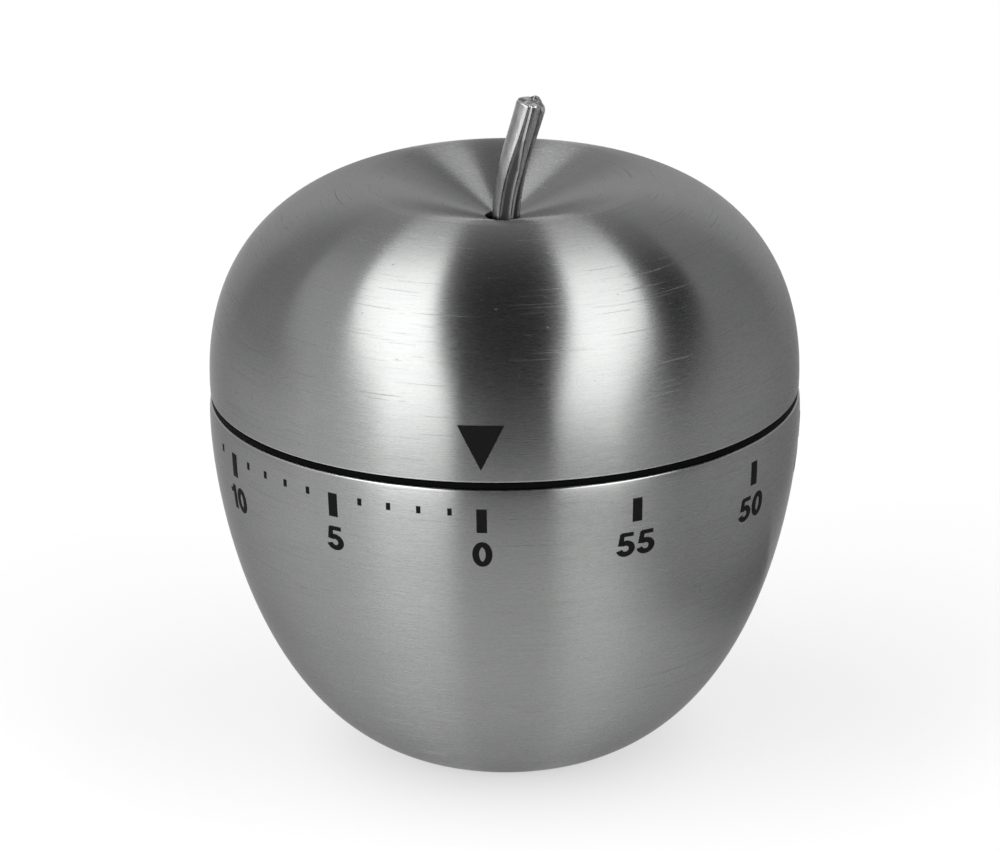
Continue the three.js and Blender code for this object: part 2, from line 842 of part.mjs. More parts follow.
const spindleBottom = hammerArmLevel - seat;
const hammerSpindle = piece(
  'hammer_spindle',
  rod(hammerSpindleRadius, spindleBottom, upperPlateTop),
  plateSteel,
);
const hammerHead = piece(
  'hammer_head',
  rod(hammerHeadRadius, hammerLevel, hammerLevel + hammerHeadHeight, roundSides),
  brass,
);
const headPlace = polar(headNose.length, headNose.heading);
hammerHead.position.set(headPlace.x, headPlace.y, 0);

class Helix extends THREE.Curve {
  constructor(radius, bottom, turns, rise) {
    super();
    Object.assign(this, { radius, bottom, turns, rise });
  }

  getPoint(share, target = new THREE.Vector3()) {
    const place = polar(this.radius, 360 * this.turns * share);
    return target.set(place.x, place.y, this.bottom + this.rise * this.turns * share);
  }
}

function hammerSpringGeometry() {
  const radius = hammerSpindleRadius + running + coilWire / 2;
  const bottom = balanceLevel + leverThickness + seat + coilWire / 2;
  const path = new Helix(radius, bottom, coilTurns, coilRise);
  const section = new THREE.Shape(circle(coilWire / 2, coilSides));
  return new THREE.ExtrudeGeometry(section, { steps: coilTurns * smallSides, extrudePath: path });
}

const hammerSpring = piece('hammer_spring', hammerSpringGeometry(), springSteel);
hammerSpring.position.set(hammerCentre.x, hammerCentre.y, 0);

// ---------- Release cam: a disc with one notch for the nose of the release lever ----------

function camGeometry() {
  const notchAngle = releaseNose.angle - stopOffset;
  const outline = new THREE.Shape();
  const from = degrees(notchAngle + camNotchAngle / 2);
  const to = degrees(notchAngle - camNotchAngle / 2 + 360);
  outline.absarc(0, 0, camRadius, from, to);
  outline.absarc(0, 0, camRadius - camNotchDepth, to, from + 2 * Math.PI);
  outline.holes.push(hole(arborRadius + fit, middle));
  return raised(outline, camLevel, camLevel + camThickness, roundSides);
}

const releaseCam = piece('release_cam', camGeometry(), brass);

// ---------- Wheels and pinions ----------

// A tooth's outline: [radius, half width as a share of the pitch] from its root to its tip.
function toothed(teeth, flank, boreRadius, bottom, top) {
  const points = [];
  const pitch = 360 / teeth;
  for (let tooth = 0; tooth < teeth; tooth += 1) {
    for (const [radius, share] of flank) {
      points.push(polar(radius, pitch * (tooth - share)));
    }
    for (const [radius, share] of [...flank].reverse()) {
      points.push(polar(radius, pitch * (tooth + share)));
    }
  }
  const outline = new THREE.Shape(points);
  if (boreRadius > 0) {
    outline.holes.push(hole(boreRadius, middle));
  }
  return raised(outline, bottom, top);
}

function wheelFlank(teeth, module) {
  const pitch = pitchRadius(teeth, module);
  return [
    [pitch - wheelRootDepth * module, wheelRootShare],
    [pitch + wheelTipHeight * module, wheelTipShare],
  ];
}

function pinionFlank(leaves, module) {
  const pitch = pitchRadius(leaves, module);
  return [
    [pitch - leafRootDepth * module, leafRootShare],
    [pitch, leafPitchShare],
    [pitch + leafTipHeight * module, leafTipShare],
  ];
}

// Turn of a pinion whose gap meets a tooth of the wheel that drives it, in a direction from the wheel.
function meshTurn(direction, teeth, leaves) {
  return direction + 180 + 180 / leaves + (direction * teeth) / leaves;
}

const wheelBore = trainArborRadius + fit;
const secondTurn = meshTurn(secondAngle, greatTeeth, secondLeaves);
const toThird = heading(secondPlace, thirdPlace);
const thirdTurn = meshTurn(toThird, secondTeeth, thirdLeaves);
const toEscape = heading(thirdPlace, escapePlace);
const escapeTurn = meshTurn(toEscape, thirdTeeth, escapeLeaves);
const toBalance = heading(escapePlace, balancePlace);

function arborGeometry(leaves, module, bottom, top) {
  const shaft = rod(trainArborRadius, lowerPlateBottom + seat, upperPlateTop - seat);
  return joined(shaft, toothed(leaves, pinionFlank(leaves, module), 0, bottom, top));
}

function turnedPiece(name, geometry, finish, turn) {
  const mesh = piece(name, geometry, finish);
  mesh.rotation.z = degrees(turn);
  return mesh;
}

function wheel(name, teeth, flank, boreRadius, bottom, turn = 0) {
  const geometry = toothed(teeth, flank, boreRadius, bottom, bottom + wheelThickness);
  return turnedPiece(name, geometry, brass, turn);
}

const greatFlank = wheelFlank(greatTeeth, greatModule);
const secondFlank = wheelFlank(secondTeeth, secondModule);
const thirdFlank = wheelFlank(thirdTeeth, thirdModule);
const strikeFlank = [
  [strikeRadius - strikeToothDepth, strikeRootShare],
  [strikeRadius, strikeTipShare],
];
const escapeFlank = [
  [escapeRadius - escapeToothDepth, escapeRootShare],
  [escapeRadius, escapeTipShare],
];
const strikeTurn = strikeNose.angle + 180 / strikeTeeth;
const secondPinion = arborGeometry(secondLeaves, greatModule, secondPinionBottom, secondPinionTop);
const thirdPinion = arborGeometry(thirdLeaves, secondModule, thirdPinionBottom, thirdPinionTop);
const escapePinion = arborGeometry(escapeLeaves, thirdModule, escapePinionBottom, escapePinionTop);

const greatWheel = wheel('great_wheel', greatTeeth, greatFlank, arborRadius + fit, greatLevel);
const secondGroup = group(
  secondPlace,
  turnedPiece('second_arbor', secondPinion, plateSteel, secondTurn),
  wheel('second_wheel', secondTeeth, secondFlank, wheelBore, secondLevel),
);
const thirdGroup = group(
  thirdPlace,
  turnedPiece('third_arbor', thirdPinion, plateSteel, thirdTurn),
  wheel('third_wheel', thirdTeeth, thirdFlank, wheelBore, thirdLevel),
  wheel('strike_wheel', strikeTeeth, strikeFlank, wheelBore, balanceLevel, strikeTurn),
);
const escapeGroup = group(
  escapePlace,
  turnedPiece('escape_arbor', escapePinion, plateSteel, escapeTurn),
  wheel('escape_wheel', escapeTeeth, escapeFlank, wheelBore, escapeLevel, toBalance),
);

// ---------- Balance: a heavy rim on a thin web, with two pallet pins ----------

function balanceGeometry() {
  const inner = balanceStaffRadius + fit;
  const rimInner = balanceRadius - balanceRimWidth;
  const webBottom = balanceLevel + balanceWebInset;
  const webTop = balanceTop - balanceWebInset;
  return turned([
    [inner, webBottom],
    [rimInner, webBottom],
    [rimInner, balanceLevel],
    [balanceRadius, balanceLevel],
    [balanceRadius, balanceTop],
    [rimInner, balanceTop],
    [rimInner, webTop],
    [inner, webTop],
    [inner, webBottom],
  ], roundSides);
}

function palletPin(number, side) {
  const place = polar(palletReach, toBalance + side * palletHalfAngle);
  place.add(escapePlace).sub(balancePlace);
  const pinTop = escapeLevel + wheelThickness + palletClearance;
  const geometry = rod(palletPinRadius, balanceTop - balanceWebInset + fit, pinTop);
  const pin = piece(`pallet_pin_${number}`, geometry, plateSteel);
  pin.position.set(place.x, place.y, 0);
  return pin;
}

const staffGeometry = rod(balanceStaffRadius, lowerPlateBottom + seat, upperPlateTop - seat);
const balanceGroup = group(
  balancePlace,
  piece('balance_staff', staffGeometry, plateSteel),
  piece('balance_wheel', balanceGeometry(), brass),
  palletPin(1, 1),
  palletPin(2, -1),
);

// ---------- Bell under the lower plate ----------

function bellArc(radius, height, holeRadius) {
  const end = Math.acos(holeRadius / radius);
  const points = [];
  for (let step = 0; step <= bellSteps; step += 1) {
    const angle = (end * step) / bellSteps;
    points.push([radius * Math.cos(angle), bellRimHeight + height * Math.sin(angle)]);
  }
  return points;
}

const studHole = bellStudRadius + fit;
const bellOutside = bellArc(bellRadius, bellHeight, studHole);
const bellInside = bellArc(bellRadius - bellWall, bellHeight - bellWall, studHole).reverse();
const bell = piece('bell', turned([...bellOutside, ...bellInside, bellOutside[0]], roundSides), bellSteel);

const bellPost = piece('bell_post', turned([
  [0, bellNutTop - bellNutHeight - bellStudEnd],
  [bellStudRadius, bellNutTop - bellNutHeight - bellStudEnd],
  [bellStudRadius, bellTop + seat],
  [bellPostRadius, bellTop + seat],
  [bellPostRadius, lowerPlateBottom - seat],
  [0, lowerPlateBottom - seat],
], roundSides), plateSteel);

const nutOutline = new THREE.Shape(circle(bellNutRadius, bellNutFlats));
nutOutline.holes.push(hole(studHole, middle));
const bellNut = piece('bell_nut', raised(nutOutline, bellNutTop - bellNutHeight, bellNutTop), screwSteel);

// ---------- The whole timer ----------

const housing = group(middle, bodyShell, movementCup, cupLid, basePlate, ...baseScrews, ...mountingScrews);
const frame = group(middle, lowerPlate, upperPlate, ...pillars, ...plateScrews, stopPin, springPost);
const springs = group(middle, mainspring, hammerSpring);
const bellGroup = group(middle, bell, bellPost, bellNut);
const train = group(middle, secondGroup, thirdGroup, escapeGroup, balanceGroup);
const hammer = group(hammerCentre, hammerSpindle, releaseLever, strikeLever, hammerArm, hammerHead);
const works = group(middle, windingArbor, stopDisc, releaseCam, greatWheel, clutchWasher);
const cap = group(middle, capShell, stem, capLiner, works);
const timer = group(middle, housing, frame, springs, bellGroup, train, hammer, cap);

export default timer;
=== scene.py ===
import json
import math

import bpy
import numpy as np
from mathutils import Matrix, Quaternion, Vector


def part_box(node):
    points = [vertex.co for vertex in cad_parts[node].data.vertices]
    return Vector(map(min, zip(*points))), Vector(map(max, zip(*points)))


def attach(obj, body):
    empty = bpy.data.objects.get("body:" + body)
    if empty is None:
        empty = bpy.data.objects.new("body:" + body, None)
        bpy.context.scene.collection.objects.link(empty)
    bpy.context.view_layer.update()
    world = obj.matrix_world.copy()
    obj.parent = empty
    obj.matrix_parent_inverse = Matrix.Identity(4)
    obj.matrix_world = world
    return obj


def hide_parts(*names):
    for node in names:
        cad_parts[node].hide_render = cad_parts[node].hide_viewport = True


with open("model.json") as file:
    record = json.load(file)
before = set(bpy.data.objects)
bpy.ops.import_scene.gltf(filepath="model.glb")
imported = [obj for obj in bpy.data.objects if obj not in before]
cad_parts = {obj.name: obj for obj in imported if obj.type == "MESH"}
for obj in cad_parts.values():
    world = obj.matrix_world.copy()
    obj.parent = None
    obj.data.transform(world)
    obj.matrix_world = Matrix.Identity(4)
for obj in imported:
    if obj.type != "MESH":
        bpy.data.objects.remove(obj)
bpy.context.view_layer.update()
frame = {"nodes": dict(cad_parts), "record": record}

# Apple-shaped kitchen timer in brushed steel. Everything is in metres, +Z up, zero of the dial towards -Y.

mm = 0.001

capLow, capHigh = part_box("cap_shell")
bodyLow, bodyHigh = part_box("body_shell")
stemLow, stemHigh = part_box("stem")
lidLow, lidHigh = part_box("cup_lid")


def bezier(corners, steps):
    # (1-t)^3 a + 3 (1-t)^2 t b + 3 (1-t) t^2 c + t^3 d, for t from 0 to 1
    t = np.linspace(0, 1, steps)[:, None]
    a, b, c, d = [np.array(corner, float) for corner in corners]
    return (1 - t) ** 3 * a + 3 * (1 - t) ** 2 * t * b + 3 * (1 - t) * t ** 2 * c + t ** 3 * d


def arcLengths(points):
    # running sum of the distances between neighbours, from 0
    return np.r_[0, np.cumsum(np.linalg.norm(np.diff(points, axis=0), axis=1))]


def directions(points):
    # unit vector from the point before to the point after
    along = np.gradient(points, axis=0)
    return along / np.linalg.norm(along, axis=1)[:, None]


def leftOf(vectors):
    # a quarter turn to the left: (x, y) becomes (-y, x)
    return np.stack([-vectors[..., 1], vectors[..., 0]], axis=-1)


def pointAt(points, lengths, at):
    # the point of a line at given lengths along it
    return np.stack([np.interp(at, lengths, points[:, k]) for k in range(points.shape[1])], axis=-1)


def resampled(points, steps):
    # the same line with its points at even distances
    lengths = arcLengths(points)
    return pointAt(points, lengths, np.linspace(0, lengths[-1], steps))


def trimmed(points, cut):
    # the line without a stretch of given length at each of its ends
    lengths = arcLengths(points)
    last = lengths[-1] - cut
    keep = (lengths > cut) & (lengths < last)
    return np.vstack([pointAt(points, lengths, cut), points[keep], pointAt(points, lengths, last)])


def lip(point, along, inward, thickness, radius, steps=8):
    # the edge of a sheet that ends at a point: two quarter circles and the flat between them,
    # centre + radius (along sin a - inward cos a), then centre + radius (along cos a + inward sin a)
    a = np.linspace(0, math.pi / 2, steps)[:, None]
    first = point + radius * (inward - along)
    second = point + (thickness - radius) * inward - radius * along
    outer = first + radius * (along * np.sin(a) - inward * np.cos(a))
    inner = second + radius * (along * np.cos(a) + inward * np.sin(a))
    return np.vstack([outer, inner])


def sheetLoop(outer, thickness, radius):
    # closed outline of a bent sheet: outer line, rounded end, inner line back, rounded start
    along = directions(outer)
    inward = leftOf(along)
    inner = outer + inward * thickness
    startLip = lip(outer[0], -along[0], inward[0], thickness, radius)
    endLip = lip(outer[-1], along[-1], inward[-1], thickness, radius)
    cut = 1.05 * radius      # the lines end a little before the lips start
    outside, inside = trimmed(outer, cut), trimmed(inner, cut)
    return np.vstack([outside, endLip, inside[::-1], startLip[::-1]])


def rounded(corners, radius, steps=6):
    # closed outline whose corners become arcs: each corner P has the arc
    # P + r (u + v) - r (u cos a + v sin a), with u and v pointing from P to its neighbours
    corners = np.array(corners, float)
    before = np.roll(corners, 1, axis=0) - corners
    after = np.roll(corners, -1, axis=0) - corners
    u = before / np.linalg.norm(before, axis=1)[:, None]
    v = after / np.linalg.norm(after, axis=1)[:, None]
    r = np.broadcast_to(np.asarray(radius, float), (len(corners),))[:, None, None]
    a = np.linspace(0, math.pi / 2, steps)[None, :, None]
    u, v = u[:, None, :], v[:, None, :]
    arcs = corners[:, None, :] + r * (u + v) - r * (v * np.cos(a) + u * np.sin(a))
    return arcs.reshape(-1, 2)


def gridFaces(rows, columns, closedRows, closedColumns):
    # each cell joins a point with the next of its row, the one below that and the one below itself
    r, c = np.meshgrid(
        np.arange(rows if closedRows else rows - 1),
        np.arange(columns if closedColumns else columns - 1),
        indexing="ij",
    )
    rNext, cNext = (r + 1) % rows, (c + 1) % columns
    faces = np.stack([r * columns + c, r * columns + cNext, rNext * columns + cNext, rNext * columns + c], -1)
    return faces.reshape(-1, 4), r.ravel(), c.ravel()


def signedVolume(points, faces):
    # sum of a . (b x c) / 6 over the triangles, above 0 where the faces point out
    a, b, c, d = [points[faces[:, k]] for k in range(4)]
    return (np.einsum("ij,ij->i", a, np.cross(b, c)) + np.einsum("ij,ij->i", a, np.cross(c, d))).sum() / 6


def surfaces(name, grids, closedRows=False, uvs=None):
    # joins closed tubes: the columns of each grid go round, its rows go along and meet, or end in a flat face
    points, quads, ends, quadUvs, endUvs, first = [], [], [], [], [], 0
    for grid in grids:
        rows, columns = grid.shape[:2]
        own = grid.reshape(-1, 3)
        faces, r, c = gridFaces(rows, columns, closedRows, True)
        rowUv, columnUv = uvs or (np.arange(rows + 1) / rows, np.arange(columns + 1) / columns)
        corners = [(rowUv[r + i], columnUv[c + j]) for i, j in ((0, 0), (0, 1), (1, 1), (1, 0))]
        faceUvs = np.stack([np.stack(corner, -1) for corner in corners], 1)
        outward = signedVolume(own - own.mean(0), faces) > 0
        turned = slice(None) if outward else slice(None, None, -1)
        points.append(own)
        quads.append(faces[:, turned] + first)
        quadUvs.append(faceUvs[:, turned])
        if not closedRows:
            ring = np.arange(columns)[turned]
            ends += [ring[::-1] + first, ring + first + (rows - 1) * columns]
            endUvs += [np.stack([np.full(columns, row), columnUv[:-1]], -1) for row in rowUv[[0, rows - 1]]]
        first += len(own)
    points, quads = np.concatenate(points), np.concatenate(quads)
    totals = np.r_[np.full(len(quads), 4), [len(end) for end in ends]].astype(int)
    mesh = bpy.data.meshes.new(name)
    mesh.vertices.add(len(points))
    mesh.vertices.foreach_set("co", points.ravel())
    mesh.loops.add(totals.sum())
    mesh.loops.foreach_set("vertex_index", np.concatenate([quads.ravel(), *ends]))
    mesh.polygons.add(len(totals))
    mesh.polygons.foreach_set("loop_start", np.cumsum(totals) - totals)
    mesh.polygons.foreach_set("loop_total", totals)
    faceUvs = np.concatenate([np.concatenate(quadUvs).reshape(-1, 2), *endUvs])
    mesh.update(calc_edges=True)
    mesh.uv_layers.new(name="along").data.foreach_set("uv", faceUvs.ravel())
    mesh.validate()
    mesh.shade_smooth()
    obj = bpy.data.objects.new(name, mesh)
    bpy.context.scene.collection.objects.link(obj)
    return obj


def revolved(name, loop, turns):
    # (radius cos a, radius sin a, height) for each point of a closed outline and a from 0 to a full turn
    a = np.linspace(0, 2 * math.pi, turns, endpoint=False)
    radius, height = loop[:, 0][:, None], loop[:, 1][:, None]
    grid = np.stack([radius * np.cos(a), radius * np.sin(a), height + 0 * a], -1)
    rowUv = arcLengths(np.vstack([loop, loop[:1]])) / mm
    return surfaces(name, [grid], closedRows=True, uvs=(rowUv, np.linspace(0, 1, turns + 1)))


apple = {
    "seamRadius": 30 * mm,
    "crestRadius": 14.5 * mm,
    "holeRadius": 1.72 * mm,
    "dimpleDepth": 3.6 * mm,
    "shoulder": (1.02 * mm, 19.2 * mm),     # how far out and up the cap's curve is pulled above the seam
    "crestReach": 0.5 * mm,                 # pull outwards at the crest
    "dimpleRoundness": 1.8 * mm,            # pull inwards at the crest
    "dimpleThroat": 6.5 * mm,               # pull outwards at the stem's hole
    "dimpleSlope": 0.3,                     # rise of the dimple at the hole
    "cheek": (0.68 * mm, 2.65 * mm),        # how far out and down the body's curve is pulled below the seam
    "heel": (16.8 * mm, 6.55 * mm),         # how far out and up it is pulled at the base
    "baseRadius": 12 * mm,
    "sheet": 0.6 * mm,
    "edgeRadius": 0.12 * mm,
    "capSteps": (400, 200, 170),            # points of the side's curve, the dimple's, and the finished line
    "bodySteps": (500, 150),                # points of the curve and of the finished line
    "turns": 256,
}

capBottom, crestHeight = capLow.z, capHigh.z
bodyBottom, bodyTop = bodyLow.z, bodyHigh.z
holeEdge = crestHeight - apple["dimpleDepth"]
throatHeight = holeEdge + apple["dimpleThroat"] * apple["dimpleSlope"]

capSide = bezier([
    (apple["seamRadius"], capBottom),
    (apple["seamRadius"] + apple["shoulder"][0], capBottom + apple["shoulder"][1]),
    (apple["crestRadius"] + apple["crestReach"], crestHeight),
    (apple["crestRadius"], crestHeight),
], apple["capSteps"][0])
capDimple = bezier([
    (apple["crestRadius"], crestHeight),
    (apple["crestRadius"] - apple["dimpleRoundness"], crestHeight),
    (apple["holeRadius"] + apple["dimpleThroat"], throatHeight),
    (apple["holeRadius"], holeEdge),
], apple["capSteps"][1])
capLine = resampled(np.vstack([capSide, capDimple[1:]]), apple["capSteps"][2])
bodyLine = resampled(bezier([
    (apple["baseRadius"], bodyBottom),
    (apple["baseRadius"] + apple["heel"][0], bodyBottom + apple["heel"][1]),
    (apple["seamRadius"] + apple["cheek"][0], bodyTop - apple["cheek"][1]),
    (apple["seamRadius"], bodyTop),
], apple["bodySteps"][0]), apple["bodySteps"][1])

capSkin = revolved("cap_skin", sheetLoop(capLine, apple["sheet"], apple["edgeRadius"]), apple["turns"])
bodySkin = revolved("body_skin", sheetLoop(bodyLine, apple["sheet"], apple["edgeRadius"]), apple["turns"])
print("shells made")


rim = {
    "wall": 1.6 * mm,
    "lid": 1.2 * mm,
    "hole": 2.2 * mm,
    "collar": 0.77 * mm,        # reaches out between the shells
    "gap": 0.1 * mm,            # between the collar and each shell
    "round": 0.1 * mm,
    "sharp": 0.01 * mm,         # rounding above the collar, where the wall's step is short
    "turns": 256,
}


def lidLoop():
    # a flat lid, a wall that stands on its edge, and a collar round the wall that fills the seam
    low, top, collarRadius = lidLow.z, lidHigh.z, lidHigh.x
    radius = collarRadius - rim["collar"]
    corners = [     # radius, height and rounding
        (rim["hole"], low, rim["round"]),
        (radius, low, rim["round"]),
        (radius, bodyTop + rim["gap"], rim["round"]),
        (collarRadius, bodyTop + rim["gap"], rim["round"]),
        (collarRadius, capBottom - rim["gap"], rim["round"]),
        (radius, capBottom - rim["gap"], rim["sharp"]),
        (radius, top, rim["sharp"]),
        (radius - rim["wall"], top, rim["sharp"]),
        (radius - rim["wall"], low + rim["lid"], rim["round"]),
        (rim["hole"], low + rim["lid"], rim["round"]),
    ]
    return rounded([corner[:2] for corner in corners], [corner[2] for corner in corners])


seamRim = revolved("seam_rim", lidLoop(), rim["turns"])


stem = {
    "shift": 0.3 * mm,               # its foot stands this far from the axis
    "lean": 2.75 * mm,
    "straight": 6 * mm,              # upright pull of the curve at the foot
    "topRun": 4.4 * mm,              # its pull at the top, at the tilt below
    "topTilt": 15,
    "footRadius": 1.4 * mm,
    "topRadius": 1.54 * mm,
    "stations": (0, 0.5, 0.75, 1),   # shares of the length at which a groove's numbers are given
    "grooves": [                     # angle and width in degrees and depth in mm, at each station
        ((-96, -80, -87, -90), (19, 19, 8, 5), (0.32, 0.3, 0.14, 0.08)),
        ((-38, -29, -34, -40), (17, 8, 6, 6), (0.5, 0.4, 0.32, 0.3)),
        ((36, 33, 31, 30), (14, 13, 12, 12), (0.26, 0.26, 0.26, 0.26)),
        ((102, 99, 97, 96), (16, 15, 14, 14), (0.28, 0.28, 0.28, 0.28)),
        ((176, 174, 173, 172), (13, 12, 11, 10), (0.26, 0.26, 0.26, 0.26)),
    ],
    "above": 4 * mm,                 # the foot, above the lower end of the part's own stem
    "below": 0.75 * mm,              # the end's middle, below the top of the part's own stem
    "endRise": 0.1,                  # the end's slope up towards the sheared corner
    "chamfer": (0.4, 0.65),          # the corner starts at this share of the radius, and its slope down
    "endRun": 3 * mm,                # length over which the sides follow the cut
    "endRound": 0.26 * mm,
    "endKnobs": 0.16 * mm,
    "knobWaves": ((1, 1.2, 0.9), (2, 0.5, 2.6), (5, 0.4, 0.7)),      # number round the end, height and phase
    "knobReach": 1.5,                # they fade out at 1 / this of the way in
    "pit": (0.8, 0.3),               # its depth, and its width as a share of the radius
    "endRings": (6, 17),             # round the edge, and from there to the middle
    "lastRing": 0.02,                # size of the smallest ring, as a share
    "curveSteps": 300,
    "steps": 110,
    "sides": 144,
}


def grooveDepth(share, a):
    # sum over the grooves of depth exp(-(angle between / width)^4), flat at the bottom
    total = 0
    for groove in stem["grooves"]:
        centre, width, depth = [np.interp(share, stem["stations"], values) for values in groove]
        apart = (a - centre + 180) % 360 - 180
        total = total + depth * mm * np.exp(-((apart / width) ** 4))
    return total


def stemSurface():
    # centre + (radius - groove) (side cos a + front sin a), then the end's rings, which shrink to a point
    foot, top = stemLow.z + stem["above"], stemHigh.z - stem["below"]
    tilt = math.tan(math.radians(stem["topTilt"]))
    path = resampled(bezier([
        (stem["shift"], 0, foot),
        (stem["shift"], 0, foot + stem["straight"]),
        (stem["shift"] + stem["lean"] - stem["topRun"] * tilt, 0, top - stem["topRun"]),
        (stem["shift"] + stem["lean"], 0, top),
    ], stem["curveSteps"]), stem["steps"])
    along = directions(path)
    front = np.broadcast_to(np.array([0.0, 1.0, 0.0]), path.shape)
    side = np.cross(front, along)
    share = np.linspace(0, 1, stem["steps"])[:, None]
    a = np.linspace(-180, 180, stem["sides"], endpoint=False)[None, :]
    groove = grooveDepth(share, a)
    radius = stem["footRadius"] + (stem["topRadius"] - stem["footRadius"]) * share - groove
    turn = np.radians(a)[..., None]
    ring = side[:, None] * np.cos(turn) + front[:, None] * np.sin(turn)
    tube = path[:, None] + radius[..., None] * ring
    grid = np.concatenate([tube, stemEnd(tube[-1], path[-1], along[-1], a)])
    return cutSlant(grid, path[-1], along[-1], side[-1]), groove


def stemEnd(ring, centre, along, a):
    # the last ring shrinks towards its centre: round a quarter circle, then over a face whose knobs are
    # sin(pi reach distance) (sum of height cos(number angle - turn)), less depth exp(-(share / width)^2)
    edgeRings, faceRings = stem["endRings"]
    rounding = np.linspace(0, math.pi / 2, edgeRings + 1)[1:]
    inset = stem["endRound"] / stem["topRadius"] * (1 - np.cos(rounding))
    shares = np.r_[1 - inset, np.linspace(1 - inset[-1], stem["lastRing"], faceRings + 1)[1:]]
    rise = np.r_[stem["endRound"] * np.sin(rounding), np.full(faceRings, stem["endRound"])]
    turn = np.radians(a[0])
    knobs = sum(height * np.cos(number * turn - phase) for number, height, phase in stem["knobWaves"])
    rough = np.sin(np.pi * np.clip((1 - shares) * stem["knobReach"], 0, 1))[:, None] * knobs
    depth, width = stem["pit"]
    pit = -depth * np.exp(-((shares / width) ** 2))[:, None]
    height = rise[:, None] + stem["endKnobs"] * (rough + pit)
    rings = centre + (ring[None] - centre) * shares[:, None, None]
    return rings + height[..., None] * along


def cutSlant(grid, centre, along, side):
    # lifts each point by rise sideways - slope (sideways - start), times how near the end it is, squared,
    # so the end slopes up to one side and its corner there is cut off
    start, slope = stem["chamfer"]
    sideways = (grid - centre) @ side
    before = (grid - centre) @ along
    near = np.clip(1 + before / stem["endRun"], 0, 1)
    lift = stem["endRise"] * sideways - slope * np.maximum(sideways - start * stem["topRadius"], 0)
    return grid + (lift * near ** 2)[..., None] * along


stemGrid, stemGrooves = stemSurface()
stemPiece = surfaces("twisted_stem", [stemGrid])


def markGrooves(obj):
    # how deep in a groove each point lies, from 0 to 1
    deep = np.zeros(stemGrid.shape[:2])
    deep[:stem["steps"]] = stemGrooves / stemGrooves.max()
    deep[stem["steps"]:] = deep[stem["steps"] - 1]
    obj.data.attributes.new("groove", "FLOAT", "POINT").data.foreach_set("value", deep.ravel())


markGrooves(stemPiece)
print("stem made")


ink = {
    "lift": 0.02 * mm,
    "sink": 0.03 * mm,
    "markCells": (6, 6),           # across and along
    "dotCells": (3, 3),
    "pointerCells": (16, 24),
    "strokeCells": 4,
}
bodyDown = bodyLine[::-1]      # from the seam downwards
capUp = capLine                # from the seam upwards


def onShell(line, outward, angle, across, along, lift):
    # the point of the outline at a length along it, turned to the angle plus across / radius, and lifted
    lengths = arcLengths(line)
    point = pointAt(line, lengths, along)
    normal = pointAt(directions(line), lengths, along)
    normal = np.stack([normal[..., 1], -normal[..., 0]], -1) * outward
    turn = np.radians(angle) + across / point[..., 0]
    point = point + normal * lift[..., None]
    return np.stack([point[..., 0] * np.cos(turn), point[..., 0] * np.sin(turn), point[..., 1]], -1)


def inkPatch(line, outward, angle, start, end, startWidth, endWidth, cells):
    # a thin slab on a shell: a loop over its top and back under it, carried from start to end
    share = np.linspace(0, 1, cells[1] + 1)[:, None]
    half = (startWidth + (endWidth - startWidth) * share) / 2
    over = np.linspace(-1, 1, cells[0] + 1)
    across = half * np.r_[over, over[::-1]][None, :]
    along = start + (end - start) * share + 0 * across
    lift = np.r_[np.full(len(over), ink["lift"]), np.full(len(over), -ink["sink"])] + 0 * across
    return onShell(line, outward, angle, across, along, lift)


dial = {
    "bigMark": (1.04 * mm, 2.48 * mm),      # width and height, as for the dots and the pointer
    "bigMarkMiddle": 3.2 * mm,       # below the body's upper edge
    "dot": (0.44 * mm, 0.74 * mm),
    "dotMiddle": 2.32 * mm,
    "lastDot": 11,
    "numberMiddle": 6.8 * mm,
    "numberHeight": 2.56 * mm,
    "numberWidth": 1.22,             # how much wider than drawn below
    "numberSpace": 0.1,              # between two digits, in their height
    "stroke": (0.215, 0.17),         # wide and narrow strokes, in their height
    "pointer": (4.62 * mm, 4.55 * mm),
    "pointerTip": 1.3 * mm,          # above the cap's lower edge
    "pointerTipWidth": 0.02 * mm,
}
fiveMinutes = range(0, 60, 5)


def dialAngle(minutes):
    # minutes run clockwise seen from above, 6 degrees each, and 0 faces -Y
    return -90 - 6 * minutes


def fiveMarks():
    # a rectangle every five minutes, with its middle at a length below the body's edge
    width, height = dial["bigMark"]
    start = dial["bigMarkMiddle"] - height / 2
    return [
        inkPatch(bodyDown, -1, dialAngle(minutes), start, start + height, width, width, ink["markCells"])
        for minutes in fiveMinutes
    ]


def minuteDots():
    # a small rectangle at each minute between the marks
    width, height = dial["dot"]
    start = dial["dotMiddle"] - height / 2
    return [
        inkPatch(bodyDown, -1, dialAngle(minutes), start, start + height, width, width, ink["dotCells"])
        for minutes in range(dial["lastDot"] + 1) if minutes not in fiveMinutes
    ]


def pointerPatch():
    # a triangle: its width grows evenly from the tip upwards
    width, height = dial["pointer"]
    start, tipWidth = dial["pointerTip"], dial["pointerTipWidth"]
    return inkPatch(capUp, 1, dialAngle(0), start, start + height, tipWidth, width, ink["pointerCells"])


# a digit is drawn in a box 1 high as strokes: parts of ellipses and straight lines, each with its width
def arc(centre, radii, start, end, steps=18):
    # centre + (across cos a, up sin a), for a from start to end in degrees
    a = np.radians(np.linspace(start, end, steps))
    return np.stack([centre[0] + radii[0] * np.cos(a), centre[1] + radii[1] * np.sin(a)], -1)


def straight(*points, steps=6):
    # a + (b - a) t from each point to the next, for t from 0 to 1
    points = np.array(points, float)
    t = np.linspace(0, 1, steps, endpoint=False)[:, None]
    return np.vstack([*[a + (b - a) * t for a, b in zip(points[:-1], points[1:])], points[-1:]])


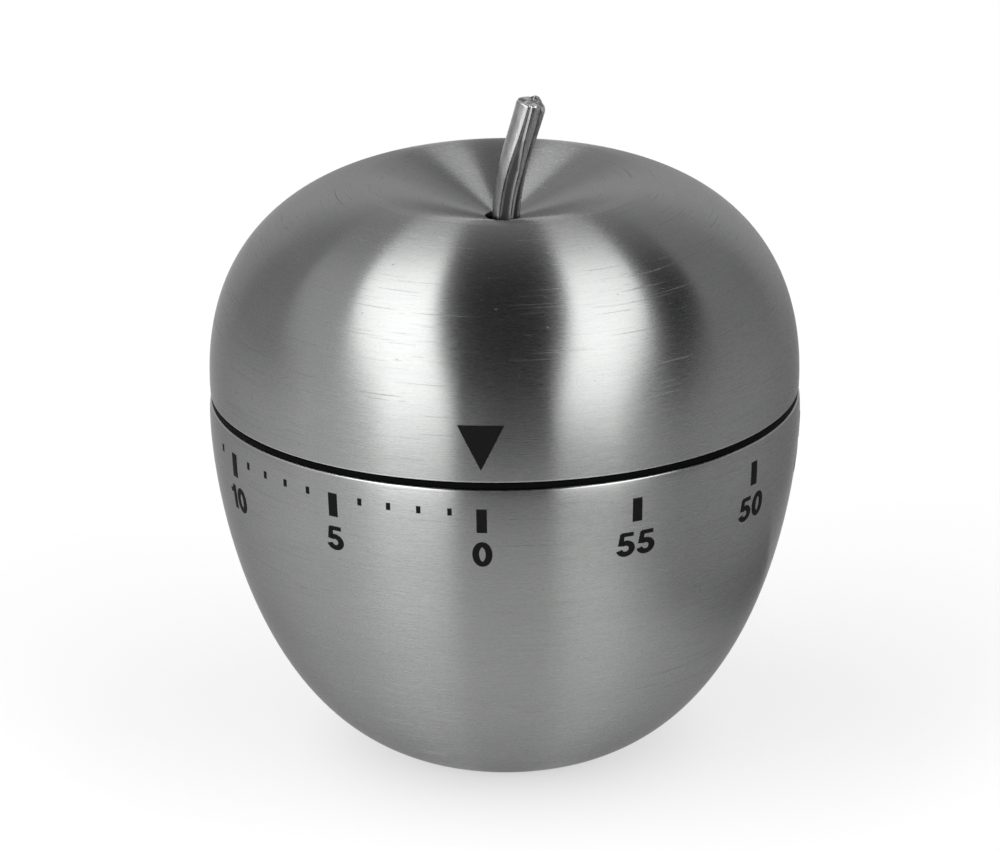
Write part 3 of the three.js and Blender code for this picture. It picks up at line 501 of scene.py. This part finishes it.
thick, thin = dial["stroke"]
digits = {       # strokes, with the digit's width
    "0": ([(arc((0.31, 0.5), (0.21, 0.42), 0, 360, 40), thick)], 0.62),
    "1": ([
        (straight((0.34, 0), (0.34, 1)), thick),
        (straight((0.06, 0.72), (0.2, 0.75), (0.34, 0.88)), thin),
    ], 0.46),
    "2": ([
        (np.vstack([
            arc((0.31, 0.68), (0.21, 0.24), 170, -35),
            straight((0.44, 0.5), (0.15, 0.16))[1:],
        ]), thick),
        (straight((0.05, thin / 2), (0.6, thin / 2)), thin),
        (straight((0.13, 0.2), (0.13, 0.04)), thick),
    ], 0.62),
    "3": ([
        (arc((0.3, 0.72), (0.19, 0.2), 170, -80), thin),
        (arc((0.3, 0.3), (0.21, 0.22), 80, -170), thick),
        (straight((0.22, 0.52), (0.34, 0.52)), thin),
    ], 0.62),
    "4": ([
        (straight((0.44, 0), (0.44, 1)), thick),
        (straight((0.4, 0.93), (0.07, 0.34)), thin),
        (straight((0.02, 0.3), (0.62, 0.3)), thin),
    ], 0.64),
    "5": ([
        (straight((0.14, 1 - thin / 2), (0.55, 1 - thin / 2)), thin),
        (straight((0.17, 0.96), (0.11, 0.45)), thin),
        (arc((0.29, 0.32), (0.22, 0.24), 128, -165, 26), thick),
    ], 0.62),
}


def strokeSlab(path, width, place, angle):
    # place + (path + beside * (-width/2 to width/2)) * size, over its top and back under it, on the body
    beside = leftOf(directions(path))
    over = np.linspace(-0.5, 0.5, ink["strokeCells"] + 1) * width
    across = np.r_[over, over[::-1]]
    points = path[:, None] + beside[:, None] * across[None, :, None]
    points = place + points * (dial["numberWidth"], 1) * dial["numberHeight"]
    lift = np.r_[np.full(len(over), ink["lift"]), np.full(len(over), -ink["sink"])] + 0 * points[..., 0]
    along = dial["numberMiddle"] - points[..., 1]
    return onShell(bodyDown, -1, angle, points[..., 0], along, lift)


def numbers():
    # digits side by side, with their middle below the mark and at the numbers' height
    slabs = []
    for minutes in fiveMinutes:
        text = str(minutes)
        widths = [digits[digit][1] * dial["numberWidth"] for digit in text]
        x = -(sum(widths) + dial["numberSpace"] * (len(text) - 1)) / 2
        for digit, width in zip(text, widths):
            place = np.array([x, -0.5]) * dial["numberHeight"]
            for path, stroke in digits[digit][0]:
                slabs.append(strokeSlab(path, stroke, place, dialAngle(minutes)))
            x += width + dial["numberSpace"]
    return slabs


dialMarks = surfaces("dial_marks", fiveMarks())
dialDots = surfaces("dial_dots", minuteDots())
dialNumbers = surfaces("dial_numbers", numbers())
pointer = surfaces("pointer", [pointerPatch()])
print("printing made")


class Paint:
    # a material's node tree, with short calls for the nodes used here

    def __init__(self, name):
        self.material = bpy.data.materials.new(name)
        self.material.use_nodes = True
        self.tree = self.material.node_tree
        self.shader = self.tree.nodes["Principled BSDF"]

    def node(self, kind, inputs=(), **settings):
        made = self.tree.nodes.new(kind)
        for key, value in settings.items():
            setattr(made, key, value)
        for key, value in dict(inputs).items():
            self.put(made.inputs[key], value)
        return made

    def put(self, socket, value):
        if isinstance(value, bpy.types.NodeSocket):
            self.tree.links.new(value, socket)
        else:
            socket.default_value = value

    def maths(self, operation, *values):
        return self.node("ShaderNodeMath", dict(enumerate(values)), operation=operation).outputs[0]

    def vector(self, operation, *values):
        return self.node("ShaderNodeVectorMath", dict(enumerate(values)), operation=operation).outputs[0]

    def objectPoint(self):
        return self.node("ShaderNodeTexCoord").outputs["Object"]

    def stretched(self, point, scale):
        return self.vector("MULTIPLY", point, scale)

    def noise(self, point, detail=2.0, roughness=0.5):
        inputs = {"Vector": point, "Scale": 1.0, "Detail": detail, "Roughness": roughness}
        return self.node("ShaderNodeTexNoise", inputs).outputs["Fac"]

    def ramp(self, value, low, high, toLow=0.0, toHigh=1.0):
        inputs = {"Value": value, "From Min": low, "From Max": high, "To Min": toLow, "To Max": toHigh}
        return self.node("ShaderNodeMapRange", inputs).outputs[0]

    def mix(self, share, first, second):
        made = self.node("ShaderNodeMix", {"Factor": share}, data_type="RGBA")
        self.put(made.inputs[6], first)
        self.put(made.inputs[7], second)
        return made.outputs[2]

    def mixShader(self, share, first, second):
        return self.node("ShaderNodeMixShader", {0: share, 1: first, 2: second}).outputs[0]

    def bump(self, height, distance, strength):
        inputs = {"Height": height, "Distance": distance, "Strength": strength}
        return self.node("ShaderNodeBump", inputs).outputs["Normal"]

    def set(self, **values):
        for key, value in values.items():
            self.put(self.shader.inputs[key.replace("_", " ")], value)

    def use(self, *objects):
        for obj in objects:
            obj.data.materials.clear()
            obj.data.materials.append(self.material)


midNoise = (0.3, 0.7)        # most of a noise lies between these


def grey(level):
    return (level, level, level, 1)


brushing = {
    "light": (0.305, 0.31, 0.306, 1),
    "dark": (0.255, 0.26, 0.257, 1),
    "burnishedAndEdgeHighlight": (0.45, 0.455, 0.45, 1),    # painted highlight along the seam's edges, and the lighter colour of the scratches
    "edge": 0.2 * mm,            # height of the painted highlight along the edge
    "roughness": (0.26, 0.29),
    "stretch": 1.0,              # of the highlights, across the brushing
    "edgeTint": 0.55,            # how much of the light it keeps at a grazing angle
    "patterns": {                # cells in one radius round the axis and in 1 mm along it, detail, decay
        "lines": ((16, 16, 16), 2, 0.6),
        "grain": ((60, 60, 22), 1, 0.5),
        "bands": ((5, 5, 4), 2, 0.5),
        "blotches": ((2, 2, 0.2), 3, 0.5),
        "scratches": ((9, 9, 12), 1, 0.5),
        "longScratches": ((2, 2, 9), 1, 0.5),
    },
    "shares": {"lines": 0.4, "bands": 0.15, "grain": 0.25, "blotches": 0.2},    # of each in the shade
    "shadeRange": (0.36, 0.64),
    "marks": {"scratches": (0.74, 0.8), "longScratches": (0.7, 0.73)},      # where each starts and is full
    "specks": (2600, 2600, 2600),           # cells in a metre
    "speckRange": (0.86, 0.9),
    "markLight": 0.35,           # how much of the lighter scratch colour a mark takes
    "markDull": 0.45,            # how much rougher it is
    "markDepth": 0.6,            # against the lines
    "grainDepth": 0.6,
    "depth": 0.003 * mm,
    "relief": 0.5,
}


def brushedSteel(name, highlightFrom, highlightTo):
    # grooves run round the axis: the pattern's place is (cos a, sin a, length along the outline)
    paint = Paint(name)
    point = paint.objectPoint()
    axes = paint.node("ShaderNodeSeparateXYZ", {0: point}).outputs
    fromAxis = paint.node("ShaderNodeCombineXYZ", {0: axes[0], 1: axes[1]}).outputs[0]
    turn = paint.node("ShaderNodeSeparateXYZ", {0: paint.vector("NORMALIZE", fromAxis)}).outputs
    outline = paint.node("ShaderNodeUVMap", uv_map="along").outputs[0]
    along = paint.node("ShaderNodeSeparateXYZ", {0: outline}).outputs[0]
    place = paint.node("ShaderNodeCombineXYZ", {0: turn[0], 1: turn[1], 2: along}).outputs[0]
    pattern = {
        key: paint.noise(paint.stretched(place, cells), detail, decay)
        for key, (cells, detail, decay) in brushing["patterns"].items()
    }
    specks = paint.noise(paint.stretched(point, brushing["specks"]), 0)
    marks = paint.ramp(specks, *brushing["speckRange"])
    for key, limits in brushing["marks"].items():
        marks = paint.maths("MAXIMUM", marks, paint.ramp(pattern[key], *limits))
    shade = 0.0
    for key, share in brushing["shares"].items():
        shade = paint.maths("MULTIPLY_ADD", pattern[key], share, shade)
    colour = paint.mix(paint.ramp(shade, *brushing["shadeRange"]), brushing["dark"], brushing["light"])
    colour = paint.mix(paint.maths("MULTIPLY", marks, brushing["markLight"]), colour, brushing["burnishedAndEdgeHighlight"])
    # painted highlight: the colour turns lighter along the shell's edge at the seam
    colour = paint.mix(paint.ramp(axes[2], highlightFrom, highlightTo), colour, brushing["burnishedAndEdgeHighlight"])
    roughness = paint.ramp(pattern["lines"], *midNoise, *brushing["roughness"])
    height = paint.maths("MULTIPLY_ADD", pattern["grain"], brushing["grainDepth"], pattern["lines"])
    height = paint.maths("SUBTRACT", height, paint.maths("MULTIPLY", marks, brushing["markDepth"]))
    paint.set(
        Base_Color=colour,
        Metallic=1.0,
        Roughness=paint.maths("MULTIPLY_ADD", marks, brushing["markDull"], roughness),
        Anisotropic=brushing["stretch"],
        Specular_Tint=grey(brushing["edgeTint"]),
        Tangent=paint.node("ShaderNodeTangent", direction_type="UV_MAP", uv_map="along").outputs[0],
        Normal=paint.bump(height, brushing["depth"], brushing["relief"]),
    )
    return paint


# each shell gets a painted highlight within this height of its edge at the seam
edge = brushing["edge"]
brushedSteel("brushed_cap", capBottom + edge, capBottom + edge / 2).use(capSkin)
brushedSteel("brushed_body", bodyTop - edge, bodyTop - edge / 2).use(bodySkin)


stemFinish = {
    "mottle": (2200, 2200, 500),      # cells in a metre
    "grain": (9000, 9000, 900),
    "levels": (0.26, 0.42),
    # grey of the painted shade in the grooves
    "paintedGrooveShade": 0.1,
    "grooveRange": (0.1, 0.5),        # share of the deepest groove at which its painted shade starts and is full
    "grooveDull": 0.3,                # how much rougher a groove is
    "roughness": (0.2, 0.34),
    "depth": 0.02 * mm,
    "relief": 0.4,
}


def stemSteel():
    # tumbled steel: mottled, darker in its grooves by painted shade and duller there, with fine marks along
    # its length
    paint = Paint("stem_steel")
    point = paint.objectPoint()
    mottle = paint.noise(paint.stretched(point, stemFinish["mottle"]), 3)
    grain = paint.noise(paint.stretched(point, stemFinish["grain"]), 2)
    deep = paint.node("ShaderNodeAttribute", attribute_name="groove").outputs["Fac"]
    deep = paint.ramp(deep, *stemFinish["grooveRange"])
    colour = paint.mix(mottle, *[grey(level) for level in stemFinish["levels"]])
    roughness = paint.ramp(mottle, *midNoise, *stemFinish["roughness"])
    paint.set(
        # painted shade: the grooves turn darker
        Base_Color=paint.mix(deep, colour, grey(stemFinish["paintedGrooveShade"])),
        Metallic=1.0,
        Roughness=paint.maths("MULTIPLY_ADD", deep, stemFinish["grooveDull"], roughness),
        Normal=paint.bump(paint.maths("ADD", mottle, grain), stemFinish["depth"], stemFinish["relief"]),
    )
    return paint


stemSteel().use(stemPiece)


blacks = {     # grey levels, specular level, roughness, cells in a metre, depth of the grain
    "black_plastic": ((0.006, 0.014), 0.5, (0.42, 0.55), 4000, 0.01 * mm),
    "matt_black_rim": ((0.001, 0.003), 0.02, (0.55, 0.7), 4000, 0.01 * mm),
    "printing_ink": ((0.003, 0.009), 0.03, (0.5, 0.7), 5000, 0.004 * mm),
}
blackRelief = 0.3


def blackFinish(name):
    # moulded or printed black: a fine even grain in its colour, roughness and relief
    levels, gloss, roughness, cells, depth = blacks[name]
    paint = Paint(name)
    grain = paint.noise(paint.stretched(paint.objectPoint(), (cells, cells, cells)), 3)
    paint.set(
        Specular_IOR_Level=gloss,
        Base_Color=paint.mix(grain, grey(levels[0]), grey(levels[1])),
        Roughness=paint.ramp(grain, *midNoise, *roughness),
        Normal=paint.bump(grain, depth, blackRelief),
    )
    return paint


metals = {     # slot: name, dark and light colour, roughness, cells in a metre
    "plate_steel": ("plate_steel", (0.44, 0.44, 0.42), (0.58, 0.58, 0.56), 0.34, (900, 7000, 7000)),
    "screw_steel": ("screw_steel", (0.46, 0.46, 0.46), (0.6, 0.6, 0.61), 0.26, (5000, 5000, 5000)),
    "spring_steel": ("spring_steel", (0.1, 0.12, 0.19), (0.17, 0.18, 0.24), 0.3, (3000, 3000, 3000)),
    "bell_steel": ("bell_steel", (0.62, 0.61, 0.58), (0.72, 0.71, 0.68), 0.16, (3500, 3500, 3500)),
    "brass": ("brass", (0.5, 0.34, 0.12), (0.66, 0.48, 0.2), 0.3, (1200, 6000, 6000)),
    "brushed_steel_cap": ("cap_steel", (0.33, 0.33, 0.33), (0.46, 0.46, 0.46), 0.36, (900, 900, 9000)),
    "brushed_steel_body": ("body_steel", (0.33, 0.33, 0.33), (0.46, 0.46, 0.46), 0.36, (900, 900, 9000)),
    "stem_steel": ("plain_stem_steel", (0.3, 0.3, 0.3), (0.44, 0.44, 0.44), 0.28, (3000, 3000, 900)),
}
metalWork = {
    "tarnish": (260, 260, 260),       # cells in a metre
    "tarnishRange": (0.35, 0.65),
    "spread": 0.06,                   # of the roughness
    "depth": 0.006 * mm,
    "relief": 0.4,
}


def workedMetal(name, dark, light, roughness, cells):
    # stamped or turned metal: fine grain with a little tarnish
    paint = Paint(name)
    point = paint.objectPoint()
    grain = paint.noise(paint.stretched(point, cells), 3)
    tarnish = paint.noise(paint.stretched(point, metalWork["tarnish"]), 3)
    low, high = roughness - metalWork["spread"], roughness + metalWork["spread"]
    paint.set(
        Base_Color=paint.mix(paint.ramp(tarnish, *metalWork["tarnishRange"]), (*dark, 1), (*light, 1)),
        Metallic=1.0,
        Roughness=paint.ramp(grain, *midNoise, low, high),
        Normal=paint.bump(grain, metalWork["depth"], metalWork["relief"]),
    )
    return paint


blackFinish("matt_black_rim").use(seamRim)
blackFinish("printing_ink").use(dialMarks, dialDots, dialNumbers, pointer)
cadFinish = {slot: workedMetal(*values) for slot, values in metals.items()}
cadFinish["black_plastic"] = blackFinish("black_plastic")
for part in frame["record"]["subparts"]:
    cadFinish[part["material_slot"]].use(frame["nodes"][part["node"]])
print("materials made")


rides = [
    (capSkin, "cap", "brushed_steel_cap", ["cap_shell"]),
    (bodySkin, "body", "brushed_steel_body", ["body_shell"]),
    (seamRim, "body", "black_plastic", ["cup_lid"]),
    (stemPiece, "cap", "stem_steel", ["stem"]),
    (pointer, "cap", "black_plastic", []),
    (dialMarks, "body", "black_plastic", []),
    (dialDots, "body", "black_plastic", []),
    (dialNumbers, "body", "black_plastic", []),
]
for piece, body, slot, nodes in rides:
    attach(piece, body)
    if nodes:
        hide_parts(*nodes)


stageSet = {
    "floorRadius": 4.0,
    "floorDrop": 0.02 * mm,        # below the timer's foot
    "floorSides": 64,
    "floorLevel": 0.8,
    "floorSpread": 0.01,
    "floorCloud": (6, 6, 6),       # cells in a metre
    "floorRoughness": 0.9,
    "floorGlow": 0.6,              # share of plain white that the floor shows to the eye and in reflections
    "floorGloss": 1.45,            # the floor's refraction index where the steel mirrors it
    "sheenRoughness": 0.3,
    "worldLevel": 0.46,
    "worldBehind": 1.0,            # level of the light backdrop behind the timer
    "backdrop": (0.7, 0.92),       # cosine of the angle from straight behind at which it starts and is full
}


def makeFloor():
    # radius (cos a, sin a) for a from 0 to a full turn, just under the timer's foot
    turn = np.linspace(0, 2 * math.pi, stageSet["floorSides"], endpoint=False)
    ring = np.stack([np.cos(turn), np.sin(turn), 0 * turn], -1) * stageSet["floorRadius"]
    mesh = bpy.data.meshes.new("floor")
    mesh.from_pydata((ring - (0, 0, stageSet["floorDrop"])).tolist(), [], [list(range(len(ring)))])
    obj = bpy.data.objects.new("floor", mesh)
    bpy.context.scene.collection.objects.link(obj)
    paint = Paint("pale_floor")
    cloud = paint.noise(paint.stretched(paint.objectPoint(), stageSet["floorCloud"]), 2)
    level, spread = stageSet["floorLevel"], stageSet["floorSpread"]
    paint.set(
        Base_Color=paint.mix(cloud, grey(level - spread), grey(level + spread)),
        Roughness=stageSet["floorRoughness"],
        Specular_IOR_Level=0.0,
    )
    ray = paint.node("ShaderNodeLightPath").outputs
    seen = paint.maths("ADD", ray["Is Camera Ray"], ray["Is Glossy Ray"])
    seen = paint.maths("MINIMUM", paint.maths("ADD", seen, ray["Is Transmission Ray"]), 1.0)
    glow = paint.node("ShaderNodeEmission", {"Strength": 1.0}).outputs[0]
    mirrorInputs = {"Color": grey(1), "Roughness": stageSet["sheenRoughness"]}
    mirror = paint.node("ShaderNodeBsdfGlossy", mirrorInputs).outputs[0]
    sheen = paint.node("ShaderNodeFresnel", {"IOR": stageSet["floorGloss"]}).outputs[0]
    glowShare = paint.maths("MULTIPLY", seen, stageSet["floorGlow"])
    mirrorShare = paint.maths("MULTIPLY", ray["Is Glossy Ray"], sheen)
    surface = paint.mixShader(glowShare, paint.shader.outputs[0], glow)
    surface = paint.mixShader(mirrorShare, surface, mirror)
    paint.put(paint.tree.nodes["Material Output"].inputs["Surface"], surface)
    paint.use(obj)


def makeWorld():
    # even light all round, with a brighter backdrop on the far side from the camera
    world = bpy.data.worlds.new("studio")
    bpy.context.scene.world = world
    world.use_nodes = True
    tree = world.node_tree
    turn = math.radians(eye["azimuth"])
    toBack = tree.nodes.new("ShaderNodeVectorMath")
    toBack.operation = "DOT_PRODUCT"
    tree.links.new(tree.nodes.new("ShaderNodeTexCoord").outputs["Generated"], toBack.inputs[0])
    toBack.inputs[1].default_value = (-math.sin(turn), math.cos(turn), 0)
    level = tree.nodes.new("ShaderNodeMapRange")
    tree.links.new(toBack.outputs["Value"], level.inputs["Value"])
    values = (*stageSet["backdrop"], stageSet["worldLevel"], stageSet["worldBehind"])
    for key, value in zip(("From Min", "From Max", "To Min", "To Max"), values):
        level.inputs[key].default_value = value
    background = tree.nodes["Background"]
    background.inputs["Color"].default_value = grey(1)
    tree.links.new(level.outputs[0], background.inputs["Strength"])


rig = {
    "lean": 42.5,           # the panels stand round an axis that leans back by this angle
    "distance": 1.0,
    "boxes": [              # angle, width, reach below and above the middle in degrees, and brightness
        ("left_box", -38.6, 30.4, 46, 57, 2.7),
        ("left_top", -38.6, 30.4, -57, 65, 1.3),      # a dimmer strip above, where the panel fades
        ("left_fill", -69, 31, 30, 60, 0.33),
        ("right_box", 36.5, 28.4, 46, 56, 2.45),
        ("right_top", 36.5, 28.4, -56, 64, 1.0),
    ],
    "cards": [              # angle, width, reach below and above, and grey level
        ("middle_card", 1, 46, 38, 72, 0.035),
        ("right_card", 66, 20, 38, 60, 0.035),
    ],
    "floorCards": [         # left and right edge, near and far edge, as the camera sees them, and grey level
        ("near_card", 0.04, 0.054, -0.8, 0.03, 0.24),
        ("side_card", 0.054, 0.7, -0.8, 0.3, 0.46),
        ("front_card", -0.04, 0.13, -0.8, -0.108, 0.035),
    ],
    "floorCardStep": 1 * mm,        # each lies this far above the one before
    "cardWeave": (300, 300, 300),   # cells in a metre
    "cardSpread": 0.2,
    "cardRoughness": 0.95,
}


def orbitPoint(azimuth, elevation, distance, centre):
    # centre + distance (sin a cos e, -cos a cos e, sin e)
    a, e = math.radians(azimuth), math.radians(elevation)
    return centre + distance * Vector((math.sin(a) * math.cos(e), -math.cos(a) * math.cos(e), math.sin(e)))


def standPanel(obj, angle, below, above):
    # centre + distance (right sin a + front cos a) + upward (above - below) / 2, facing the centre
    azimuth, lean, a = [math.radians(value) for value in (eye["azimuth"], rig["lean"], angle)]
    right = Vector((math.cos(azimuth), math.sin(azimuth), 0))
    back = Vector((-math.sin(azimuth), math.cos(azimuth), 0))
    upward = back * math.sin(lean) + Vector((0, 0, 1)) * math.cos(lean)
    front = right.cross(upward)
    outward = right * math.sin(a) + front * math.cos(a)
    low, high = panelReach(below), panelReach(above)
    centre = Vector((0, 0, (capBottom + bodyTop) / 2))
    turn = Matrix((upward.cross(outward), upward, outward)).transposed().to_4x4()
    spot = centre + outward * rig["distance"] + upward * (high - low) / 2
    obj.matrix_world = Matrix.Translation(spot) @ turn
    obj.visible_camera = False


def panelReach(angle):
    # distance tan angle
    return rig["distance"] * math.tan(math.radians(angle))


def makeLamps():
    # a panel's energy is 4 width height brightness, so it looks as bright at any size
    for name, angle, width, below, above, brightness in rig["boxes"]:
        light = bpy.data.lights.new(name, "AREA")
        light.shape = "RECTANGLE"
        light.size = 2 * panelReach(width / 2)
        light.size_y = panelReach(below) + panelReach(above)
        light.energy = 4 * light.size * light.size_y * brightness
        obj = bpy.data.objects.new(name, light)
        bpy.context.scene.collection.objects.link(obj)
        standPanel(obj, angle, below, above)


def makeCard(name, corners, level):
    # the cards are seen only in the steel
    mesh = bpy.data.meshes.new(name)
    mesh.from_pydata(corners, [], [(0, 1, 2, 3)])
    obj = bpy.data.objects.new(name, mesh)
    bpy.context.scene.collection.objects.link(obj)
    obj.visible_camera = obj.visible_diffuse = obj.visible_shadow = False
    paint = Paint(name)
    weave = paint.noise(paint.stretched(paint.objectPoint(), rig["cardWeave"]), 2)
    levels = [grey(level * (1 + side * rig["cardSpread"])) for side in (-1, 1)]
    paint.set(Base_Color=paint.mix(weave, *levels), Roughness=rig["cardRoughness"])
    paint.use(obj)
    return obj


def makeCards():
    # dark panels beside the lamps, and grey sheets on the floor turned to face the camera
    for name, angle, width, below, above, level in rig["cards"]:
        halfWidth, halfHeight = panelReach(width / 2), (panelReach(below) + panelReach(above)) / 2
        corners = [(x * halfWidth, y * halfHeight, 0) for x, y in ((-1, -1), (1, -1), (1, 1), (-1, 1))]
        standPanel(makeCard(name, corners, level), angle, below, above)
    turn = Matrix.Rotation(math.radians(eye["azimuth"]), 4, "Z")
    for step, (name, left, right, near, far, level) in enumerate(rig["floorCards"], 1):
        height = step * rig["floorCardStep"]
        corners = ((left, near), (right, near), (right, far), (left, far))
        makeCard(name, [turn @ Vector((x, y, height)) for x, y in corners], level)


eye = {
    "azimuth": 4.67,
    "elevation": 19.44,
    "distance": 628 * mm,
    "lens": 221.5,
    "sensor": 36,
    "height": 38.1 * mm,      # of the point it turns about
    "aimDown": 4.12 * mm,     # the middle of the view lies this far below that point
    "aimLeft": 0.48 * mm,     # and this far to its left
    "roll": -0.74,
    "clip": (0.01, 20),       # nearest and farthest that it sees
}


def makeCamera():
    # looks from the orbit point at the target, rolled, then moved so that the target is off the middle
    target = Vector((0, 0, eye["height"]))
    spot = orbitPoint(eye["azimuth"], eye["elevation"], eye["distance"], target)
    turn = (target - spot).to_track_quat("-Z", "Y") @ Quaternion((0, 0, 1), math.radians(eye["roll"]))
    right, up = turn @ Vector((1, 0, 0)), turn @ Vector((0, 1, 0))
    camera = bpy.data.objects.new("camera", bpy.data.cameras.new("camera"))
    bpy.context.scene.collection.objects.link(camera)
    camera.rotation_mode = "QUATERNION"
    camera.rotation_quaternion = turn
    camera.location = spot - up * eye["aimDown"] - right * eye["aimLeft"]
    camera.data.sensor_width = eye["sensor"]
    camera.data.lens = eye["lens"]
    camera.data.clip_start, camera.data.clip_end = eye["clip"]
    bpy.context.scene.camera = camera


makeFloor()
makeWorld()
makeLamps()
makeCards()
makeCamera()
bpy.context.scene.view_settings.view_transform = "Standard"
print("stage made")
